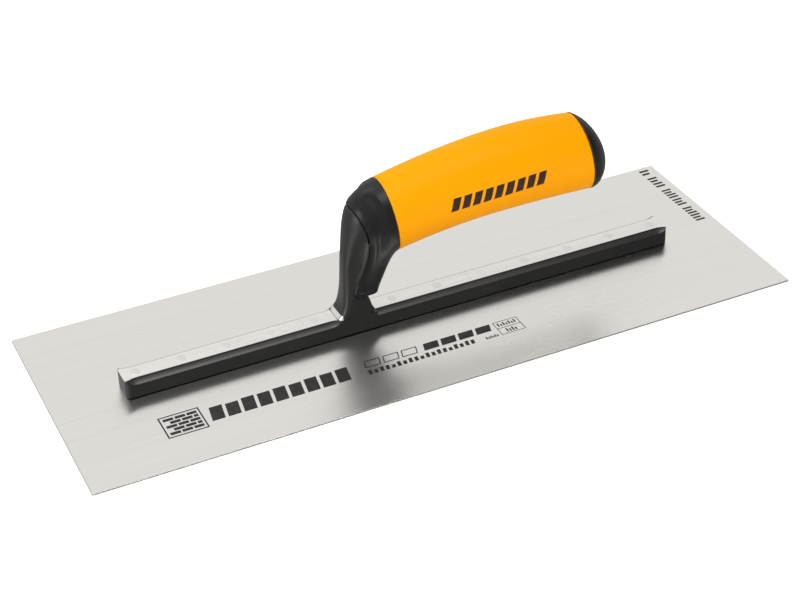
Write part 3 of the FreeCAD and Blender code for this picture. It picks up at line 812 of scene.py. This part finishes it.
# The casting's share of the neck: lines run from the parting line down to the foot in the bar,
# and along the line the face sinks a little, so that the collar stands proud of it.
def neckCastingSheet():
    shape = neckShape
    s0, a0, share, cornerShare = partingPlaces(lineShape["count"])
    a1 = np.interp(share, [0, shape["turnShare"], cornerShare, 1],
                   np.radians(shape["footTurns"]))
    s1 = np.zeros_like(a1)
    base, centres, normals, distance = [
        bothSides(grid) for grid in neckLines(s0, a0, s1, a1, -1, 90)]
    edgeRound = 0.3 * np.clip(1 - (distance - shape["gap"]) / 0.6, 0, 1) ** 2
    deepest, reach = shape["sink"]
    sink = deepest * lipFade(base[..., 2]) * np.clip(1 - distance / reach, 0, 1)
    outer = base - normals * (edgeRound + sink)[..., None]
    # the heel leans forward from the land up to the collar's edge
    (topX, topZ), (footX, footZ) = shape["heelTop"], shape["heelFoot"]
    heelX = np.interp(outer[..., 2], [footZ, topZ, topZ + 1.2], [footX, topX, 0.0])
    outer[..., 0] = np.minimum(outer[..., 0], heelX)
    wall = outer[:1] - normals[:1] * shape["castingWall"]
    folded = wall * np.array([1, 0, 1])
    foot = base[-1:] * np.array([1, 0, 1])
    points = np.concatenate([folded, wall, outer, foot])

    def finish(centres):  # the cutter that makes the left land also bares the foot's front
        x, y, z = centres.T
        bare = shape["bareFoot"]
        cutFace = (x < bare["behind"]) & (z > bare["low"]) & (z < bare["high"])
        return (cutFace & (np.abs(y) < bare["halfWidth"])).astype(int)

    return sheet(points, finish=finish)


makeCollar()
makePiece("mountingCasting", [barSheet(), neckCastingSheet()],
          [blackCoat, milledAluminium], "mounting_casting")


rivetShape = {
    "leftFirst": -136.4, "leftPitch": 22.0, "leftCount": 5, "rightFirst": -7.5,
    "rightPitch": 24.0, "rightCount": 7, "shank": 2.0, "head": 2.8, "tail": 2.4,
    "tailRise": 0.07, "headRise": 0.03}


# A rivet is a profile of radius and height turned about its own upright line: a shallow domed
# tail, the shank, and a countersunk head that ends flush under the blade.
def makeRivets():
    shape = rivetShape
    places = np.concatenate([
        shape["leftFirst"] + shape["leftPitch"] * np.arange(shape["leftCount"]),
        shape["rightFirst"] + shape["rightPitch"] * np.arange(shape["rightCount"])])
    top, base = barShape["top"], bladeHigh[2]
    tail, rise = shape["tail"], shape["tailRise"]
    profile = np.array([
        (0.0, top + rise), (0.5 * tail, top + rise * 0.95), (0.85 * tail, top + rise * 0.75),
        (0.96 * tail, top + rise * 0.5), (tail, top - 0.02), (shape["shank"], top - 0.5),
        (shape["shank"], base), (shape["head"], 0.0), (shape["head"] * 0.97, -shape["headRise"]),
        (0.0, -shape["headRise"])])
    angle = np.linspace(0, 2 * math.pi, 40, endpoint=False)
    edge = np.array([0, 0, 0.3, 1, 1, 0, 0, 1, 1, 0])[:, None]
    sheets = []
    for place in places:
        points = np.stack([place + profile[:, :1] * np.cos(angle), profile[:, :1] * np.sin(angle),
                           np.broadcast_to(profile[:, 1:], (len(profile), len(angle)))], -1)
        sheets.append(sheet(points, edge=edge))
    makePiece("bladeRivets", sheets, [rivetSteel], "blade_rivets")


makeRivets()


# The sleeve is the grip's ellipse carried along its centreline. Each end turns in over a small
# quarter round, and the inside runs back at the wall's thickness.
def makeSleeve():
    shape = gripShape
    length = shape["rearX"] - shape["frontX"]
    r, gap = shape["edgeRound"], shape["gap"]
    roundRows, longRows, innerRows = 6, 148, 30
    turn = np.linspace(0, math.pi / 2, roundRows)
    along = np.concatenate([
        gap + r * (1 - np.cos(turn)), np.linspace(r + gap, length - r - gap, longRows + 2)[1:-1],
        length - gap - r * (1 - np.sin(turn)), np.linspace(length - gap, gap, innerRows)])
    inset = np.concatenate([r * (1 - np.sin(turn)), np.zeros(longRows), r * (1 - np.cos(turn)),
                            np.full(innerRows, shape["wall"])])
    angle = np.linspace(0, 2 * math.pi, 128, endpoint=False)
    t = (along / length)[:, None] * np.ones_like(angle)
    points = gripPoint(t, angle[None, :] * np.ones_like(t), inset[:, None])
    edge = np.zeros((len(along), 1))
    rearRound = roundRows + longRows
    edge[:roundRows] = edge[rearRound:rearRound + roundRows] = 1.0
    makePiece("gripSleeve", [sheet(points, closeRows=True, edge=edge)],
              [gripYellow], "grip_sleeve")


makeSleeve()

capShape = {"depth": 13.6, "droop": 12.7, "roundness": 1.7, "edgeRound": 0.4}


# The cap's rings are the grip's rear ellipse made smaller by cos^(2/n) and moved out along a
# drooping direction by depth times sin^(2/n) of the same turn.
def makeCap():
    shape = capShape
    droop = math.radians(shape["droop"])
    outward = np.array([math.cos(droop), 0, -math.sin(droop)])
    turn = np.concatenate([np.linspace(0, 0.9, 60), 1 - 0.1 * np.linspace(1, 0, 16)[1:] ** 1.6])
    power = 2 / shape["roundness"]
    shrink = np.cos(np.pi / 2 * turn) ** power
    shrink[-1] = 0.0
    depth = shape["depth"] * np.sin(np.pi / 2 * turn) ** power
    angle = np.linspace(0, 2 * math.pi, 128, endpoint=False)
    tall, wide = gripShape["halfHeights"][-1], gripShape["halfWidths"][-1]
    ring = (tall * np.cos(angle)[:, None] * gripUp
            - wide * np.sin(angle)[:, None] * np.array([0.0, 1.0, 0.0]))
    centre = gripCentre(1.0)
    dome = centre + depth[:, None, None] * outward + shrink[:, None, None] * ring[None]
    r, gap = shape["edgeRound"], gripShape["gap"]
    roundTurn = np.linspace(0, math.pi / 2, 5)
    rim = []
    for along, inset in zip(gap + r * (1 - np.sin(roundTurn)), r * (1 - np.cos(roundTurn))):
        rim.append(centre + gripOut * along + ring * (1 - inset / tall))
    rim = np.stack(rim)[::-1]
    keep = depth > gap + r
    back = np.stack([centre + gripOut * gap + ring * share for share in (0, 0.5, 0.9)])
    points = np.concatenate([back, rim, dome[keep]])
    edge = np.zeros((len(points), 1))
    edge[3:8] = 1.0
    makePiece("endCap", [sheet(points, edge=edge)], [blackPlastic], "end_cap")


makeCap()

innerFinishes = {"handle_core": corePlastic, "tie_rod": zincSteel, "flat_washer": zincSteel,
                 "spring_washer": zincSteel, "hex_nut": zincSteel}
for node, material in innerFinishes.items():
    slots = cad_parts[node].data.materials
    slots.clear()
    slots.append(material)
print("inner pieces have their finishes")


markThickness = 0.02  # ink film


# A bar is a parallelogram with a slant, as a closed box: four corners below, four above.
def barBox(x0, x1, y0, y1, slant=0.0):
    low = np.array([(x0, y0), (x1, y0), (x1 + slant, y1), (x0 + slant, y1)], float)
    middle = np.broadcast_to(low.mean(0), low.shape)
    base = bladeHigh[2]
    heights = (base, base, base + markThickness, base + markThickness)
    return sheet(np.stack([np.column_stack([row, np.full(4, height)])
                           for row, height in zip((middle, low, low, middle), heights)]))


# A frame is four bars: the two upright ones stop a hair short of the others, so that no corner
# is shared.
def frameBars(x0, x1, y0, y1, line, slant=0.0):
    rise = slant / (y1 - y0)
    low, high = y0 + line + 0.01, y1 - line - 0.01
    lean, reach = rise * (low - y0), rise * (high - low)
    atTop = rise * (y1 - y0 - line)
    return [barBox(x0, x1, y0, y0 + line, rise * line),
            barBox(x0 + atTop, x1 + atTop, y1 - line, y1, rise * line),
            barBox(x0 + lean, x0 + lean + line, low, high, reach),
            barBox(x1 + lean - line, x1 + lean, low, high, reach)]


# A row of bars at an even pitch, each taking the fill's share of it, their heights in turn.
def rowOfBars(x0, x1, y0, y1, count, fill, slant, heights=(1.0,)):
    pitch = (x1 - x0) / count
    bars = []
    for i in range(count):
        tall = (y1 - y0) * heights[i % len(heights)]
        left = x0 + i * pitch
        bars.append(barBox(left, left + pitch * fill, y0, y0 + tall, slant * tall / (y1 - y0)))
    return bars


bladeMarks = {
    "emblem": (-136.2, -116.9, -42.5, -26.5), "bigRow": (-114.4, -45.0, -39.4, -29.4),
    "outlineRow": (-37.5, -9.0, -34.6, -29.4), "boldRow": (-7.0, 29.7, -34.6, -29.4),
    "smallRow": (-37.8, 18.1, -40.0, -36.5), "codeRow": (23.1, 30.0, -40.0, -37.9),
    "badge": (31.2, 44.0, -40.0, -29.4), "endColumn": (168.4, 173.8),
    "endGroups": ((60.5, 54.3), (52.0, 40.5), (38.0, 28.0), (27.4, 19.9), (17.7, 2.7))}


def makeBladeMarks():
    marks = bladeMarks
    x0, x1, y0, y1 = marks["emblem"]
    bars = frameBars(x0, x1, y0, y1, 0.7)
    course = (y1 - y0 - 3.0) / 5
    for row in range(5):  # a brick wall inside the emblem's frame
        shift = (row % 2) * 2.6
        for brick in range(3):
            left = x0 + 1.8 + brick * 5.6 + shift
            right = min(left + 4.9, x1 - 1.6)
            if right - left > 1:
                low = y0 + 1.9 + row * course
                bars.append(barBox(left, right, low, low + course * 0.72))
    bars += rowOfBars(*marks["bigRow"], 9, 0.8, 1.6, (1.0, 0.94, 1.0, 0.97))
    x0, x1, y0, y1 = marks["outlineRow"]
    pitch = (x1 - x0) / 3
    for i in range(3):
        bars += frameBars(x0 + i * pitch, x0 + i * pitch + 8.0, y0, y1, 0.55, 1.4)
    bars += rowOfBars(*marks["boldRow"], 4, 0.84, 1.4)
    bars += rowOfBars(*marks["smallRow"], 19, 0.62, 0.5, (1.0, 0.8, 1.0, 0.9, 0.7))
    bars += rowOfBars(*marks["codeRow"], 6, 0.6, 0.0, (1.0, 0.7))
    x0, x1, y0, y1 = marks["badge"]
    bars += frameBars(x0, x1, y0, y1, 0.35)
    middle = (y0 + y1) / 2
    bars.append(barBox(x0, x1, middle - 0.17, middle + 0.17))
    bars += rowOfBars(x0 + 1.6, x1 - 1.2, middle + 1.4, y1 - 1.3, 7, 0.55, 0.0, (1.0, 0.6))
    bars += rowOfBars(x0 + 3.6, x1 - 3.2, y0 + 1.2, middle - 1.2, 4, 0.55, 0.0, (1.0, 0.7))
    left, right = marks["endColumn"]
    for top, bottom in marks["endGroups"]:
        count = max(2, round((top - bottom) / 2.6))
        pitch = (top - bottom) / count
        for i in range(count):
            tall = (right - left) * (1.0, 0.82, 1.0)[i % 3]
            low = top - i * pitch - pitch * 0.55
            bars.append(barBox(left, left + tall, low, top - i * pitch))
    makePiece("bladeMarks", bars, [bladeInk])


makeBladeMarks()

gripMarks = {"fromX": 17.0, "toX": 67.0, "low": 59.0, "rise": 2.8, "tall": 7.0, "count": 9,
             "fill": 0.72, "slant": 1.4, "sink": 0.3}


# Each mark on the grip is a patch of the sleeve's own surface, lifted by the ink's thickness:
# its corners are given along X and in height, and the angle comes from the height.
def makeGripMarks():
    marks = gripMarks
    length = gripShape["rearX"] - gripShape["frontX"]
    pitch = (marks["toX"] - marks["fromX"]) / marks["count"]
    u, v = np.meshgrid(np.linspace(0, 1, 9), np.linspace(0, 1, 12), indexing="ij")
    patches = []
    for i in range(marks["count"]):
        x = marks["fromX"] + pitch * (i + marks["fill"] * u) + marks["slant"] * v
        z = marks["low"] + marks["rise"] * (i + u) / marks["count"] + marks["tall"] * v
        t = (x - gripShape["frontX"]) / length
        for _ in range(3):  # the tilted sections shift X and Z a little, so solve by repeating
            above = z - gripCentre(t)[..., 2]
            angle = np.arccos(np.clip(above / (gripSizes(t)[..., 0] * math.cos(gripTilt)), -1, 1))
            t = t + (x - gripPoint(t, angle)[..., 0]) / length
        face = gripPoint(t, angle, inset=-markThickness)
        under = gripPoint(t, angle, inset=marks["sink"])
        rings = [np.concatenate([grid[:, 0], grid[-1, 1:], grid[-2::-1, -1], grid[0, -2:0:-1]])
                 for grid in (under, face)]
        skirt = np.stack([np.broadcast_to(rings[0].mean(0), rings[0].shape), *rings])
        points = np.concatenate([face.reshape(-1, 3), skirt.reshape(-1, 3)])
        skirtFaces = gridFaces(3, skirt.shape[1], False, True) + u.size
        faces = np.concatenate([gridFaces(*u.shape, False, False), skirtFaces[:, ::-1]])
        patches.append({"points": points, "faces": outwardFaces(points, faces),
                        "finish": np.zeros(len(faces), int), "edge": np.zeros(len(points))})
    makePiece("gripMarks", patches, [gripInk])


makeGripMarks()

# mirrored: the dim floor tone of a painted reflection, seen only by glossy rays
floorShape = {"half": 6.0, "level": -0.06 * mm, "white": 0.94, "glow": 0.45, "mirrored": 0.25}
floorCorners = [(x * floorShape["half"], y * floorShape["half"], floorShape["level"])
                for x, y in ((-1, -1), (1, -1), (1, 1), (-1, 1))]
floorMesh = bpy.data.meshes.new("studioFloor")
floorMesh.from_pydata(floorCorners, [], [(0, 1, 2, 3)])
floor = bpy.data.objects.new("studioFloor", floorMesh)
bpy.context.scene.collection.objects.link(floor)
floorPaint, floorTree, floorShader, _ = newMaterial(
    "floorPaint", Roughness=0.9, Specular_IOR_Level=0.1, Emission_Strength=floorShape["glow"])
# painted reflection: for glossy rays the floor's colour and glow are turned down to a dim grey, so that
# mirrored in the pieces it looks like a sweep of grey card round the object
floorMirrored = addNode(floorTree, "ShaderNodeLightPath").outputs["Is Glossy Ray"]
for label, level in (("Base Color", floorShape["white"]), ("Emission Color", 1.0)):
    tone = mixed(floorTree, floorMirrored, rgb(level, level, level), rgb(*[floorShape["mirrored"]] * 3))
    floorTree.links.new(tone, floorShader.inputs[label])
floorMesh.materials.append(floorPaint)

# The studio: white all round, with a dim patch on the near right and one on the upper left. A
# patch is full where the cosine of the angle from its direction reaches "to".
studioShape = {"bright": 0.93, "dimPatches": (
    {"towards": (0.72, -0.60, 0.35), "from": 0.30, "to": 0.85, "left": 0.06},
    {"towards": (-0.80, -0.12, 0.50), "from": 0.62, "to": 0.92, "left": 0.15})}
world = bpy.data.worlds.new("studioWorld")
bpy.context.scene.world = world
world.use_nodes = True
skyTree = world.node_tree
direction = addNode(skyTree, "ShaderNodeTexCoord").outputs["Generated"]
sky = studioShape["bright"]
for patch in studioShape["dimPatches"]:
    nearness = vectors(skyTree, "DOT_PRODUCT", direction,
                       Vector(patch["towards"]).normalized(), "Value")
    sky = computed(skyTree, "MULTIPLY", sky, ranged(
        skyTree, nearness, 1.0, patch["left"], patch["from"], patch["to"]))
background = skyTree.nodes["Background"]
background.inputs["Color"].default_value = rgb(1.0, 0.992, 0.975)
skyTree.links.new(sky, background.inputs["Strength"])
bpy.context.scene.view_settings.view_transform = "Standard"

softLights = {
    "keySoftbox": {"from": (0.13, -0.65, 1.28), "size": 0.50, "power": 9.5},
    "topSoftbox": {"from": (-0.5, 0.35, 1.1), "size": 0.7, "power": 4.0},
    "leftSoftbox": {"from": (-1.0, -0.20, 0.24), "size": 0.46, "power": 4.5}}
for name, setup in softLights.items():
    lamp = bpy.data.lights.new(name, "AREA")
    lamp.size = setup["size"]
    lamp.energy = setup["power"]
    holder = bpy.data.objects.new(name, lamp)
    bpy.context.scene.collection.objects.link(holder)
    holder.location = setup["from"]
    aim = Vector((0.0, 0.0, 0.03)) - holder.location
    holder.rotation_euler = aim.to_track_quat("-Z", "Y").to_euler()

cameraSetup = {"azimuth": -24.63, "elevation": 34.124, "roll": -1.608, "lens": 81.722,
               "distance": 0.87752, "aim": (-0.001354, 0.003902, 0.004402)}
azimuth, elevation, roll = (math.radians(cameraSetup[key])
                            for key in ("azimuth", "elevation", "roll"))
back = Vector((math.sin(azimuth) * math.cos(elevation),
               -math.cos(azimuth) * math.cos(elevation), math.sin(elevation)))
level = (-back).cross(Vector((0, 0, 1))).normalized()
upward = level.cross(-back)
across = math.cos(roll) * level + math.sin(roll) * upward
upright = -math.sin(roll) * level + math.cos(roll) * upward
camera = bpy.data.objects.new("camera", bpy.data.cameras.new("camera"))
bpy.context.scene.collection.objects.link(camera)
camera.data.lens = cameraSetup["lens"]
camera.data.sensor_width = 36.0
camera.data.clip_start = 0.01
turnedFrame = Matrix((across, upright, back)).transposed().to_4x4()
camera.matrix_world = Matrix.Translation(
    Vector(cameraSetup["aim"]) + back * cameraSetup["distance"]) @ turnedFrame
bpy.context.scene.camera = camera
print("stage, lights and camera are set")
